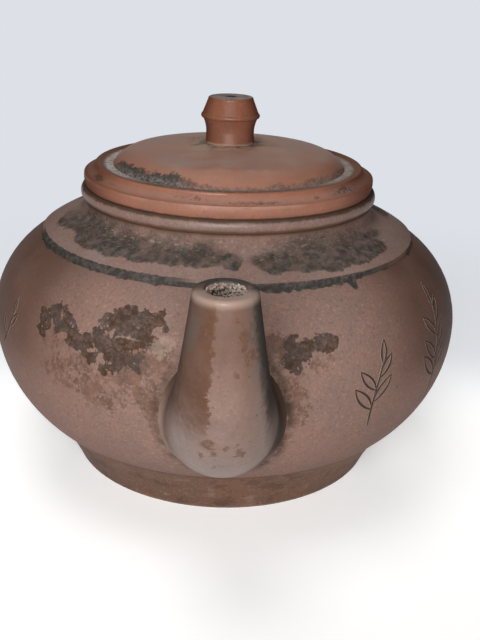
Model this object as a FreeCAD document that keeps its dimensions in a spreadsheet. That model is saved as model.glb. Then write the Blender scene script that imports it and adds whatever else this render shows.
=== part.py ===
import FreeCAD, Part
import math
import os
import re

import Sketcher
from FreeCAD import Placement, Rotation, Vector

# Clay teapot in millimetres. The pot stands on z = 0 with its turning axis on Z,
# the spout towards -Y and the handle towards +Y. The clay pieces meet on the
# faces where they are luted together, and the lid lifts straight up.

# Driving dimensions
SIZES = {
    # Belly: widest radius, its height, the two curves that meet there, the wall, and the
    # skin of slip on which the spout and the handle are luted
    "belly_radius": 75.0,
    "belly_height": 48.2,
    "upper_curve": 29.2,
    "lower_curve": 42.1,
    "wall": 3.2,
    "slip": 0.02,
    # Foot ring, which narrows to the table, and the floor of the pot
    "foot_height": 16.6,
    "foot_radius": 50.4,
    "foot_width": 6.5,
    "foot_step": 0.7,
    "foot_sweep": 70.0,
    "foot_seat": 4.0,
    "base_thickness": 3.4,
    # Shoulder plate, laid over the top of the wall with a proud edge, and its rise over the wall
    "shoulder_radius": 59.4,
    "shoulder_step": 1.6,
    "shoulder_lap": 6.0,
    "shoulder_rise": 3.85,
    "shoulder_curve": 34.0,
    "plate_thickness": 3.0,
    "edge_round": 0.9,
    # Neck and the bead round the mouth
    "bore_radius": 42.4,
    "neck_wall": 3.3,
    "neck_flare": 3.4,
    "neck_height": 5.2,
    "neck_cove": 4.9,
    "bead_height": 3.9,
    "bead_round": 2.3,
    # Lid: the band on the rim, the ledge above it, and the flange in the neck
    "lid_overhang": 3.2,
    "band_height": 3.8,
    "band_draft": 0.5,
    "band_round": 6.0,
    "tread_width": 3.4,
    "tread_cove": 5.0,
    "ledge_rise": 2.9,
    "ledge_round": 0.6,
    "channel_width": 5.6,
    "channel_depth": 0.7,
    "channel_curve": 14.0,
    "flange_depth": 10.0,
    "flange_thickness": 3.4,
    "flange_draft": 0.5,
    "lid_clearance": 0.4,
    # Dome of the lid: height of its crown, where the crown turns down, its curves
    "lid_thickness": 3.2,
    "dome_height": 7.0,
    "dome_turn": 6.9,
    "crown_curve": 180.0,
    "dome_curve": 10.0,
    # Knob: its foot, waist, flare, ridge, cap and flat top, and the vent down its axis;
    # the ridge's curve is wider than a half round by knob_ridge_round
    "knob_foot_radius": 7.7,
    "knob_waist_radius": 7.5,
    "knob_waist_height": 3.6,
    "knob_foot_curve": 40.0,
    "knob_flare_radius": 8.5,
    "knob_flare_height": 7.5,
    "knob_flare_curve": 10.0,
    "knob_ridge_height": 1.5,
    "knob_ridge_round": 0.04,
    "knob_cap_radius": 8.75,
    "knob_top_radius": 6.7,
    "knob_top_round": 0.7,
    "knob_height": 14.0,
    "vent_radius": 1.2,
    # Spout: where its centre line leaves the belly, its bend, and its taper
    "spout_inset": 5.0,
    "spout_drop": 6.6,
    "spout_root_angle": 22.0,
    "spout_tip_angle": 88.0,
    "spout_bend": 51.0,
    "spout_tip_length": 2.6,
    "spout_root_radius": 16.2,
    "spout_tip_radius": 7.3,
    "spout_blend": 2.4,
    "spout_wall": 3.2,
    "spout_mouth_radius": 4.7,
    "spout_lip_round": 1.0,
    # Strainer: a pierced dome set in the wall behind the spout
    "strainer_radius": 11.0,
    "strainer_thickness": 2.0,
    "strainer_hole_radius": 1.3,
    "strainer_inner_ring": 30.0,
    "strainer_outer_ring": 60.0,
    # Handle: how far it stands off the belly, its two bends and its section
    "handle_stand": 34.76,
    "handle_drop": 2.0,
    "handle_upper_bend": 26.0,
    "handle_lower_bend": 22.0,
    "handle_width": 14.0,
    "handle_thickness": 10.0,
    "handle_swell": 0.25,
    "handle_blend": 2.5,
}

# Levels and radii that follow from the driving dimensions
DERIVED = {
    "upper_centre": "belly_radius - upper_curve",
    "lower_centre": "belly_radius - lower_curve",
    "foot_skin": "lower_centre + sqrt(lower_curve^2 - (belly_height - foot_height)^2)",
    "foot_lining": "lower_centre + sqrt((lower_curve - wall)^2 - (belly_height - foot_height)^2)",
    "base_level": "foot_height + base_thickness",
    "base_lining": "lower_centre + sqrt((lower_curve - wall)^2 - (belly_height - base_level)^2)",
    "lap_radius": "shoulder_radius - shoulder_lap",
    "lap_skin": "belly_height + sqrt(upper_curve^2 - (lap_radius - upper_centre)^2)",
    "lap_lining": "belly_height + sqrt((upper_curve - wall)^2 - (lap_radius - upper_centre)^2)",
    "shoulder_skin": "belly_height + sqrt(upper_curve^2 - (shoulder_radius - upper_centre)^2)",
    "shoulder_level": "shoulder_skin + shoulder_step",
    "neck_level": "lap_skin + shoulder_rise",
    "crease_radius": "bore_radius + neck_wall",
    "neck_radius": "crease_radius + neck_flare",
    "crease_level": "neck_level + neck_height",
    "rim_level": "crease_level + bead_height",
    "flange_radius": "bore_radius - lid_clearance",
    "flange_lining": "flange_radius - flange_thickness",
    "lid_radius": "bore_radius + lid_overhang",
    "band_level": "rim_level + band_height",
    "ledge_radius": "lid_radius - tread_width",
    "ledge_level": "band_level + ledge_rise",
    "dome_radius": "ledge_radius - channel_width",
    "dome_lining": "dome_radius - lid_thickness",
    "dome_level": "ledge_level - channel_depth",
    "crown_level": "dome_level + dome_height",
    "crown_centre": "crown_level - sqrt(crown_curve^2 - knob_foot_radius^2)",
    "turn_radius": "dome_radius - dome_turn",
    "turn_level": "crown_centre + sqrt(crown_curve^2 - turn_radius^2)",
    "turn_lining": "turn_radius - lid_thickness / 2",
    "ridge_level": "crown_level + knob_flare_height",
    "knob_ridge_span": "sqrt((knob_cap_radius - knob_flare_radius)^2 + knob_ridge_height^2)",
    "knob_top": "crown_level + knob_height",
    "spout_start": "belly_radius - spout_inset",
    "spout_level": "belly_height - spout_drop",
    "spout_length": "spout_bend * (spout_tip_angle - spout_root_angle) * pi / 180 + spout_tip_length",
    "strainer_level": "spout_level + spout_inset * tan(spout_root_angle)",
    "handle_centre": "belly_radius + handle_stand - handle_thickness / 2",
    "handle_level": "belly_height - handle_drop",
}

SPOUT_BEND_STATIONS = 6
INNER_HOLES = 6
OUTER_HOLES = 11
HANDLE_UPPER_END = 140
HANDLE_LOWER_END = -150
HANDLE_STEPS = 5
FULL_TURN = 360
TOUCH = 0.001

doc = FreeCAD.newDocument("teapot")
sizes_sheet = doc.addObject("Spreadsheet::Sheet", "Sizes")
derived_sheet = doc.addObject("Spreadsheet::Sheet", "Derived")


def fill_sheet(sheet, rows):
    """Write one named value in each row of a sheet."""
    for row, (name, content) in enumerate(rows, start=1):
        sheet.set(f"A{row}", name)
        sheet.set(f"B{row}", content)
        sheet.setAlias(f"B{row}", name)
    doc.recompute()


def formula(text):
    """Point each size named in a formula at its cell."""
    def cell(match):
        name = match.group(0)
        if name in SIZES:
            return f"Sizes.{name}"
        if name in DERIVED:
            return f"Derived.{name}"
        return name
    return re.sub(r"[a-z_]+", cell, text)


def size(text):
    """Work out a formula's present value."""
    return float(sizes_sheet.evalExpression(formula(text)))


def bind(item, prop, text):
    """Tie a property of an object to a formula of named sizes."""
    item.setExpression(prop, formula(text))


def origin_plane(body, role):
    """Find one of a body's own origin planes."""
    return next(item for item in body.Origin.OriginFeatures if item.Role == role)


def line(radius, level):
    """A straight step of an outline to a point."""
    return radius, level, None, 0


def left(radius, level, curve):
    """A step of an outline to a point along an arc that turns left."""
    return radius, level, curve, 1


def right(radius, level, curve):
    """A step of an outline to a point along an arc that turns right."""
    return radius, level, curve, -1


def step_shape(first, last, curve, turn):
    """The straight line, or the shorter arc of a given curve, between two points."""
    if turn == 0:
        return Part.LineSegment(first, last)
    chord = last - first
    middle = (first + last) * 0.5
    reach = math.sqrt(curve ** 2 - chord.Length ** 2 / 4)
    side = Vector(-chord.y, chord.x, 0).normalize()
    centre = middle + side * (reach * turn)
    if turn < 0:
        first, last = last, first
    start = math.atan2(first.y - centre.y, first.x - centre.x)
    end = math.atan2(last.y - centre.y, last.x - centre.x)
    return Part.ArcOfCircle(Part.Circle(centre, Vector(0, 0, 1), curve), start, end)


def pin(sketch, geometry, end, axis, text, value):
    """Hold one coordinate of a sketch point at a formula, or on the other axis at zero."""
    if text == "0":
        other_axis = -2 if axis == "DistanceX" else -1
        sketch.addConstraint(Sketcher.Constraint("PointOnObject", geometry, end, other_axis))
        return
    number = sketch.addConstraint(Sketcher.Constraint(axis, -1, 1, geometry, end, value))
    bind(sketch, f"Constraints[{number}]", text)


def draw(sketch, steps):
    """Draw a closed outline, with every point and curve tied to the sheets."""
    points = [Vector(size(step[0]), size(step[1]), 0) for step in steps]
    ends = []
    for number, (radius, level, curve, turn) in enumerate(steps):
        curve_size = size(curve) if turn else 0
        shape = step_shape(points[number - 1], points[number], curve_size, turn)
        geometry = sketch.addGeometry(shape, False)
        ends.append((1, 2) if turn >= 0 else (2, 1))
        pin(sketch, geometry, ends[-1][1], "DistanceX", radius, points[number].x)
        pin(sketch, geometry, ends[-1][1], "DistanceY", level, points[number].y)
        if turn:
            constraint = sketch.addConstraint(Sketcher.Constraint("Radius", geometry, curve_size))
            bind(sketch, f"Constraints[{constraint}]", curve)
    for number, (start, _) in enumerate(ends):
        before = (number - 1) % len(steps)
        sketch.addConstraint(Sketcher.Constraint("Coincident", before, ends[before][1], number, start))


def turned_piece(label, steps):
    """A piece turned about the Z axis from its half outline."""
    body = doc.addObject("PartDesign::Body", label)
    sketch = body.newObject("Sketcher::SketchObject", f"{label}_outline")
    sketch.AttachmentSupport = [(origin_plane(body, "XZ_Plane"), "")]
    sketch.MapMode = "FlatFace"
    draw(sketch, steps)
    turn = body.newObject("PartDesign::Revolution", f"{label}_turn")
    turn.Profile = sketch
    turn.ReferenceAxis = (sketch, ["V_Axis"])
    turn.Angle = FULL_TURN
    doc.recompute()
    return body


def base_plate():
    """The floor of the pot, inside the lower end of the wall."""
    return turned_piece("base_plate", [
        line("0", "foot_height"),
        line("foot_lining", "foot_height"),
        left("base_lining", "base_level", "lower_curve - wall"),
        line("0", "base_level"),
    ])


def foot_ring():
    """The ring that the wall and the floor stand on, narrowing to the table."""
    return turned_piece("foot_ring", [
        line("foot_radius - foot_width", "0"),
        line("foot_radius", "0"),
        right("foot_skin - foot_step", "foot_height", "foot_sweep"),
        line("foot_lining - foot_seat", "foot_height"),
    ])


def body_wall():
    """The belly's wall, pierced behind the spout for the strainer."""
    body = turned_piece("body_wall", [
        right("foot_lining", "foot_height", "lower_curve - wall"),
        line("foot_skin", "foot_height"),
        left("belly_radius", "belly_height", "lower_curve"),
        left("lap_radius", "lap_skin", "upper_curve"),
        line("lap_radius", "lap_lining"),
        right("belly_radius - wall", "belly_height", "upper_curve - wall"),
    ])
    sketch = body.newObject("Sketcher::SketchObject", "strainer_seat")
    sketch.AttachmentSupport = [(origin_plane(body, "XZ_Plane"), "")]
    sketch.MapMode = "FlatFace"
    centre = Vector(0, size("strainer_level"), 0)
    ring = sketch.addGeometry(Part.Circle(centre, Vector(0, 0, 1), size("strainer_radius")), False)
    pin(sketch, ring, 3, "DistanceX", "0", 0)
    pin(sketch, ring, 3, "DistanceY", "strainer_level", centre.y)
    number = sketch.addConstraint(Sketcher.Constraint("Radius", ring, size("strainer_radius")))
    bind(sketch, f"Constraints[{number}]", "strainer_radius")
    seat = body.newObject("PartDesign::Pocket", "strainer_hole")
    seat.Profile = sketch
    seat.Reversed = True
    bind(seat, "Length", "belly_radius + wall")
    doc.recompute()
    return body


def belly_form(label, skin):
    """The belly's two curves as one full solid, under a skin of a given thickness."""
    low = f"belly_height - lower_curve - {skin}"
    top = f"belly_height + upper_curve + {skin}"
    return turned_piece(label, [
        line("0", low),
        line("lower_centre", low),
        left(f"belly_radius + {skin}", "belly_height", f"lower_curve + {skin}"),
        left("upper_centre", top, f"upper_curve + {skin}"),
        line("0", top),
    ])


def shoulder_plate():
    """The plate over the belly's top, proud of it at the edge and domed to the neck."""
    return turned_piece("shoulder_plate", [
        right("shoulder_radius", "shoulder_skin", "upper_curve"),
        line("shoulder_radius", "shoulder_level - edge_round"),
        left("shoulder_radius - edge_round / 2", "shoulder_level", "edge_round * 1.2"),
        left("neck_radius", "neck_level", "shoulder_curve"),
        line("bore_radius", "neck_level"),
        line("bore_radius", "neck_level - plate_thickness"),
        line("lap_radius", "lap_skin"),
    ])


def neck_ring():
    """The short neck, coved into the shoulder."""
    return turned_piece("neck_ring", [
        line("bore_radius", "neck_level"),
        line("neck_radius", "neck_level"),
        right("crease_radius", "crease_level", "neck_cove"),
        line("bore_radius", "crease_level"),
    ])


def mouth_bead():
    """The rounded bead round the mouth, with the flat rim that carries the lid."""
    return turned_piece("mouth_bead", [
        line("bore_radius", "crease_level"),
        line("crease_radius", "crease_level"),
        left("crease_radius", "rim_level", "bead_round"),
        line("bore_radius", "rim_level"),
    ])


def lid_flange():
    """The ring under the lid that hangs in the neck."""
    return turned_piece("lid_flange", [
        line("flange_lining", "rim_level - flange_depth"),
        line("flange_radius - flange_draft", "rim_level - flange_depth"),
        line("flange_radius", "rim_level"),
        line("flange_lining", "rim_level"),
    ])


def lid_band():
    """The band that rests on the rim of the mouth."""
    return turned_piece("lid_band", [
        line("flange_lining", "rim_level"),
        line("lid_radius - band_draft", "rim_level"),
        left("lid_radius", "band_level", "band_round"),
        line("flange_lining", "band_level"),
    ])


def lid_ledge():
    """The stepped plate of the lid, coved outside, with a shallow channel round the dome."""
    return turned_piece("lid_ledge", [
        line("dome_lining", "band_level"),
        line("lid_radius", "band_level"),
        right("ledge_radius", "ledge_level - ledge_round", "tread_cove"),
        left("ledge_radius - ledge_round", "ledge_level", "ledge_round"),
        right("dome_radius", "dome_level", "channel_curve"),
        line("dome_lining", "dome_level"),
    ])


def lid_dome():
    """The raised dome of the lid, with a flat seat for the knob."""
    return turned_piece("lid_dome", [
        line("vent_radius", "crown_level"),
        line("vent_radius", "crown_level - lid_thickness"),
        right("turn_lining", "turn_level - lid_thickness", "crown_curve - lid_thickness"),
        right("dome_lining", "dome_level", "dome_curve - lid_thickness"),
        line("dome_radius", "dome_level"),
        left("turn_radius", "turn_level", "dome_curve"),
        left("knob_foot_radius", "crown_level", "crown_curve"),
    ])


def knob():
    """The knob: a waisted stem, a ridge and a tapered cap, with the vent down its axis."""
    return turned_piece("knob", [
        line("vent_radius", "crown_level"),
        line("knob_foot_radius", "crown_level"),
        right("knob_waist_radius", "crown_level + knob_waist_height", "knob_foot_curve"),
        right("knob_flare_radius", "ridge_level", "knob_flare_curve"),
        left("knob_cap_radius", "ridge_level + knob_ridge_height", "knob_ridge_span / 2 + knob_ridge_round"),
        line("knob_top_radius + knob_top_round / 2", "knob_top - knob_top_round"),
        left("knob_top_radius - knob_top_round / 2", "knob_top", "knob_top_round"),
        line("vent_radius", "knob_top"),
    ])


def strainer_pierce(name, polar, turn):
    """One drill through the strainer's dome, along a radius of the dome."""
    drill = doc.addObject("Part::Cylinder", name)
    bind(drill, "Radius", "strainer_hole_radius")
    bind(drill, "Height", "2 * strainer_thickness")
    tilt = size(polar)
    direction = Rotation(Vector(0, 0, 1), turn) * Rotation(Vector(0, 1, 0), tilt)
    drill.Placement = Placement(Vector(), direction)
    out = "(strainer_radius - strainer_thickness * 1.5)"
    bind(drill, "Placement.Base.x", f"{out} * sin({polar}) * cos({turn})")
    bind(drill, "Placement.Base.y", f"{out} * sin({polar}) * sin({turn})")
    bind(drill, "Placement.Base.z", f"wall + {out} * cos({polar})")
    return drill


def strainer():
    """A pierced dome of clay, bulging into the pot from its seat in the wall."""
    inner = "strainer_radius - strainer_thickness"
    dome = turned_piece("strainer_dome", [
        line("strainer_radius", "0"),
        line("strainer_radius", "wall"),
        left("strainer_hole_radius", "wall + sqrt(strainer_radius^2 - strainer_hole_radius^2)",
             "strainer_radius"),
        line("strainer_hole_radius", f"wall + sqrt(({inner})^2 - strainer_hole_radius^2)"),
        right(inner, "wall", inner),
        line(inner, "0"),
    ])
    drills = []
    for count, polar in ((INNER_HOLES, "strainer_inner_ring"), (OUTER_HOLES, "strainer_outer_ring")):
        for number in range(count):
            name = f"{polar}_{number + 1}"
            drills.append(strainer_pierce(name, polar, FULL_TURN * number / count))
    drill_set = doc.addObject("Part::Compound", "strainer_drills")
    drill_set.Links = drills
    pierced = doc.addObject("Part::Cut", "strainer")
    pierced.Base = dome
    pierced.Tool = drill_set
    pierced.Placement = Placement(Vector(), Rotation(Vector(1, 0, 0), -90))
    bind(pierced, "Placement.Base.y", "-belly_radius")
    bind(pierced, "Placement.Base.z", "strainer_level")
    doc.recompute()
    return pierced


def spout_section(name, radius, reach, level, angle):
    """A round section of the spout, square to its centre line, starting at its underside."""
    section = doc.addObject("Part::Circle", name)
    bind(section, "Radius", radius)
    tilt = f"rotation(vector(1; 0; 0); 90 - {angle})"
    start = "rotation(vector(0; 0; 1); -90)"
    bind(section, "Placement", f"placement(vector(0; -({reach}); {level}); {tilt} * {start})")
    return section


def spout_loft(name, root_radius, tip_radius, overrun):
    """A tapering form along the spout's bent centre line, from inside the belly."""
    root = "spout_root_angle"
    tip = "spout_tip_angle"
    sections = [spout_section(
        f"{name}_inner_end",
        root_radius,
        f"spout_start - 3 * spout_inset * cos({root})",
        f"spout_level - 3 * spout_inset * sin({root})",
        root,
    )]
    for number in range(SPOUT_BEND_STATIONS + 1):
        share = number / SPOUT_BEND_STATIONS
        angle = f"({root} + ({tip} - {root}) * {share})"
        along = f"{share} * (1 - spout_tip_length / spout_length)"
        sections.append(spout_section(
            f"{name}_bend_{number}",
            f"{root_radius} + ({tip_radius} - ({root_radius})) * {along}",
            f"spout_start + spout_bend * (sin({angle}) - sin({root}))",
            f"spout_level + spout_bend * (cos({root}) - cos({angle}))",
            angle,
        ))
    run = f"(spout_tip_length + {overrun})"
    sections.append(spout_section(
        f"{name}_tip",
        tip_radius,
        f"spout_start + spout_bend * (sin({tip}) - sin({root})) + {run} * cos({tip})",
        f"spout_level + spout_bend * (cos({root}) - cos({tip})) + {run} * sin({tip})",
        tip,
    ))
    loft = doc.addObject("Part::Loft", name)
    loft.Sections = sections
    loft.Solid = True
    loft.Ruled = False
    doc.recompute()
    return loft


def lies_on(edge, shape):
    """Whether an edge runs along the outside of a solid."""
    first, last = edge.ParameterRange
    shares = (0.2, 0.5, 0.8)
    points = [Part.Vertex(edge.valueAt(first + (last - first) * share)) for share in shares]
    return all(shape.Shells[0].distToShape(point)[0] < TOUCH for point in points)


def luted(name, form, core, slip, blend, lip=None):
    """A form luted to the belly: blended into it all round, then parted from it by the slip."""
    joined = doc.addObject("Part::Fuse", f"{name}_joined")
    joined.Base = core
    joined.Tool = form
    doc.recompute()
    edges = joined.Shape.Edges
    radii = []
    for number, edge in enumerate(edges, start=1):
        if lies_on(edge, core.Shape) and lies_on(edge, form.Shape):
            radii.append((number, size(blend), size(blend)))
    if lip:
        heights = [edge.CenterOfMass.z for edge in edges]
        radii.append((heights.index(max(heights)) + 1, size(lip), size(lip)))
    blended = doc.addObject("Part::Fillet", f"{name}_blended")
    blended.Base = joined
    blended.Edges = radii
    parted = doc.addObject("Part::Cut", f"{name}_parted")
    parted.Base = blended
    parted.Tool = slip
    doc.recompute()
    return parted


def spout(core, slip):
    """The hollow spout, with a rounded lip, trimmed to the belly's skin."""
    form = spout_loft("spout_form", "spout_root_radius", "spout_tip_radius", "0")
    bore = spout_loft("spout_bore", "(spout_root_radius - spout_wall)", "spout_mouth_radius", "wall")
    hollow = doc.addObject("Part::Cut", "spout")
    hollow.Base = luted("spout", form, core, slip, "spout_blend", "spout_lip_round")
    hollow.Tool = bore
    doc.recompute()
    return hollow


def handle_section(number, angle, bend):
    """An oval section of the handle at an angle round one of its two bends."""
    swell = f"(1 + handle_swell * {(angle / HANDLE_LOWER_END) ** 2})"
    section = doc.addObject("Part::Ellipse", f"handle_section_{number}")
    bind(section, "MajorRadius", f"handle_width / 2 * {swell}")
    bind(section, "MinorRadius", f"handle_thickness / 2 * {swell}")
    section.Placement = Placement(Vector(), Rotation(Vector(1, 0, 0), angle))
    bind(section, "Placement.Base.y", f"handle_centre - {bend} + {bend} * cos({angle})")
    bind(section, "Placement.Base.z", f"handle_level + {bend} * sin({angle})")
    return section


def handle(core, slip):
    """The ear handle, thickest where it joins the belly."""
    sections = []
    for number in range(-HANDLE_STEPS, HANDLE_STEPS + 1):
        share = abs(number) / HANDLE_STEPS
        if number > 0:
            angle = HANDLE_UPPER_END * share
            bend = "handle_upper_bend"
        else:
            angle = HANDLE_LOWER_END * share
            bend = "handle_lower_bend"
        sections.append(handle_section(number + HANDLE_STEPS, angle, bend))
    form = doc.addObject("Part::Loft", "handle_form")
    form.Sections = sections
    form.Solid = True
    form.Ruled = False
    doc.recompute()
    trimmed = luted("handle", form, core, slip, "handle_blend")
    trimmed.Label = "handle"
    return trimmed


def check(nodes):
    """Stop unless every object is sound and every node is one valid solid."""
    for item in doc.Objects:
        if "Invalid" in item.State or "Error" in item.State:
            raise RuntimeError(f"{item.Label} failed: {item.State}")
    for node in nodes:
        shape = node.Shape
        if shape.isNull() or not shape.isValid() or len(shape.Solids) != 1:
            raise RuntimeError(f"{node.Label} is not one valid solid")
    wall = next(node for node in nodes if node.Label == "body_wall")
    if wall.Shape.Volume >= wall.Group[1].Shape.Volume:
        raise RuntimeError("the strainer's seat cuts nothing from the wall")


def write(nodes):
    """Write each node to its own file."""
    os.makedirs("parts", exist_ok=True)
    for node in nodes:
        node.Shape.exportStep(f"parts/{node.Label}.step")
        box = node.Shape.optimalBoundingBox()
        print(f"{node.Label:15s} {node.Shape.Volume:10.1f} mm3"
              f"  y {box.YMin:7.2f} {box.YMax:7.2f}  z {box.ZMin:7.2f} {box.ZMax:7.2f}")


fill_sheet(sizes_sheet, [(name, str(value)) for name, value in SIZES.items()])
fill_sheet(derived_sheet, [(name, f"={formula(text)}") for name, text in DERIVED.items()])
core_body = belly_form("belly_core", "0")
slip_body = belly_form("belly_slip", "slip")
node_list = [
    foot_ring(),
    base_plate(),
    body_wall(),
    shoulder_plate(),
    neck_ring(),
    mouth_bead(),
    strainer(),
    spout(core_body, slip_body),
    handle(core_body, slip_body),
    lid_flange(),
    lid_band(),
    lid_ledge(),
    lid_dome(),
    knob(),
]
check(node_list)
write(node_list)
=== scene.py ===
import math
import random

import bmesh
import bpy
from mathutils import Matrix, Vector
from mathutils.bvhtree import BVHTree


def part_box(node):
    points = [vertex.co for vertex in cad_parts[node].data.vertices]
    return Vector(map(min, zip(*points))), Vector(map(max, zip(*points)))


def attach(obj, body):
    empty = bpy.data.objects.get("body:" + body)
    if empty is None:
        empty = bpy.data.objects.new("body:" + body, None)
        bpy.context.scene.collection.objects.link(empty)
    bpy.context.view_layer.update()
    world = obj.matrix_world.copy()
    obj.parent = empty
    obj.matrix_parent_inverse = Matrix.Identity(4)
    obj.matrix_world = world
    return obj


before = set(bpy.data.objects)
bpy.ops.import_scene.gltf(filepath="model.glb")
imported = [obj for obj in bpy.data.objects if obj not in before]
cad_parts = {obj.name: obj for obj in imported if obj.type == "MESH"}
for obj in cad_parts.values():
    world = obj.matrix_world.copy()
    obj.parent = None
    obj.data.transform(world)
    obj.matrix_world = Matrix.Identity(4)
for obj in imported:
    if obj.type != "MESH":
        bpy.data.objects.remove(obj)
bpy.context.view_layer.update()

MM = 0.001

# Colours of the clay and of what has settled on it, as linear red, green and blue
BELLY_WARM = (0.238, 0.140, 0.113)
BELLY_COOL = (0.203, 0.130, 0.108)
LID_WARM = (0.318, 0.121, 0.068)
LID_COOL = (0.262, 0.108, 0.067)
KNOB_WARM = (0.225, 0.080, 0.043)
KNOB_COOL = (0.185, 0.072, 0.044)
FOOT_WARM = (0.180, 0.086, 0.050)
FOOT_COOL = (0.140, 0.074, 0.048)
SPOUT_WARM = (0.202, 0.126, 0.101)
SPOUT_COOL = (0.168, 0.110, 0.091)
SPOUT_BROWN = (0.086, 0.042, 0.026)
CRUST_BROWN = (0.056, 0.033, 0.021)
CRUST_GREY = (0.062, 0.047, 0.040)
SOOT = (0.046, 0.041, 0.036)
SOOT_BROWN = (0.075, 0.052, 0.040)
SOOT_PALE = (0.090, 0.078, 0.070)
SOOT_DUST = (0.180, 0.162, 0.145)
TEA_STAIN = (0.135, 0.068, 0.042)
TEA_DARK = (0.045, 0.024, 0.016)
# Painted shade for the belly's sides
PAINTED_SIDE_SHADE = (0.104, 0.055, 0.039)
# Painted shade for the lid's sides
PAINTED_LID_SHADE = (0.150, 0.050, 0.026)
DUST = (0.300, 0.270, 0.250)
DUST_THICK = (0.460, 0.430, 0.405)
DUST_TAN = (0.360, 0.275, 0.200)
SCUFF = (0.340, 0.245, 0.200)
SCALE = (0.340, 0.290, 0.245)
SCALE_DARK = (0.190, 0.150, 0.122)
GRAIN_PALE = (0.380, 0.265, 0.215)
GRAIN_DARK = (0.090, 0.054, 0.042)
FLOOR = (0.800, 0.792, 0.780)
BACKDROP = (0.720, 0.750, 0.800)
GLOW = (0.985, 0.990, 1.000)

# A layer at least as rough as this, such as soot or dust, takes this share of the sheen away
MATT = 0.75
SHEEN_LOST = 0.85

# Light: the even part from all round, and the white that the floor shows besides the lamps' light
AMBIENT = 0.02
FLOOR_GLOW = 0.52
LAMP_AIM = (0, 0, 0.05)

# The spout, in millimetres: its lip, its bore, its mouth's place behind its tip, how much its half
# width gains for each millimetre below the lip, and where it meets the belly
LIP_RADIUS = 7.3
LIP_BORE = 4.7
MOUTH_BEHIND_TIP = 7.8
SPOUT_SPREAD = 0.17
SPOUT_ROOT = -86

# The spout's root on the belly, in millimetres: half its width, its middle's height, half its height
ROOT_HALF_WIDTH = 17.6
ROOT_MIDDLE = 42.5
ROOT_HALF_HEIGHT = 20.5

# Places on the turned pieces, in millimetres
VENT_RADIUS = 1.5
STEM_INSET = 1.4
CHANNEL_INSET = 5.4
TREAD_RADIUS = 43.6
RIM_WIDTH = 1.2
LAP_WIDTH = 1.4
COVE_HEIGHT = 2.0
SOOT_CRUST_RADIUS = 51.0

# Steps along a sprig's stem, the step of its first leaf, and steps along one side of a leaf
STEM_STEPS = 16
FIRST_LEAF = 5
LEAF_STEPS = 8

# Metres from the pot's axis to a place that is clear of the belly
CLEAR_OF_BELLY = 0.2

# One seeded source of chance, so that every run gives the same pot
dice = random.Random(7)


def level(node, end):
    """Height of a node's lower (0) or upper (1) end, in millimetres."""
    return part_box(node)[end].z / MM


def reach(node):
    """Radius of a turned node, in millimetres."""
    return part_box(node)[1].x / MM


class Field:
    """A number that varies over a surface, made by nodes of one material."""

    def __init__(self, tree, socket):
        self.tree = tree
        self.socket = socket

    def __add__(self, other):
        return math_field(self.tree, "ADD", self, other)

    def __sub__(self, other):
        return math_field(self.tree, "SUBTRACT", self, other)

    def __rsub__(self, other):
        return math_field(self.tree, "SUBTRACT", other, self)

    def __mul__(self, other):
        return math_field(self.tree, "MULTIPLY", self, other)

    def __truediv__(self, other):
        return math_field(self.tree, "DIVIDE", self, other)

    __radd__ = __add__
    __rmul__ = __mul__

    def most(self, other):
        """The larger of two fields."""
        return math_field(self.tree, "MAXIMUM", self, other)

    def size(self):
        """The field without its sign."""
        return math_field(self.tree, "ABSOLUTE", self)

    def rise(self, start, end):
        """0 up to start, 1 from end on, and a smooth step between them."""
        node = self.tree.nodes.new("ShaderNodeMapRange")
        node.interpolation_type = "SMOOTHSTEP"
        plug(self.tree, node.inputs["Value"], self)
        plug(self.tree, node.inputs["From Min"], start)
        plug(self.tree, node.inputs["From Max"], end)
        return Field(self.tree, node.outputs["Result"])

    def fall(self, start, end):
        """1 up to start, 0 from end on, and a smooth step between them."""
        return 1 - self.rise(start, end)


def plug(tree, socket, value):
    """Feed a socket from a field or with a plain number."""
    if isinstance(value, Field):
        tree.links.new(value.socket, socket)
    else:
        socket.default_value = value


def math_field(tree, operation, *values):
    """One step of arithmetic between fields and plain numbers."""
    node = tree.nodes.new("ShaderNodeMath")
    node.operation = operation
    for socket, value in zip(node.inputs, values):
        plug(tree, socket, value)
    return Field(tree, node.outputs[0])


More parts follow.
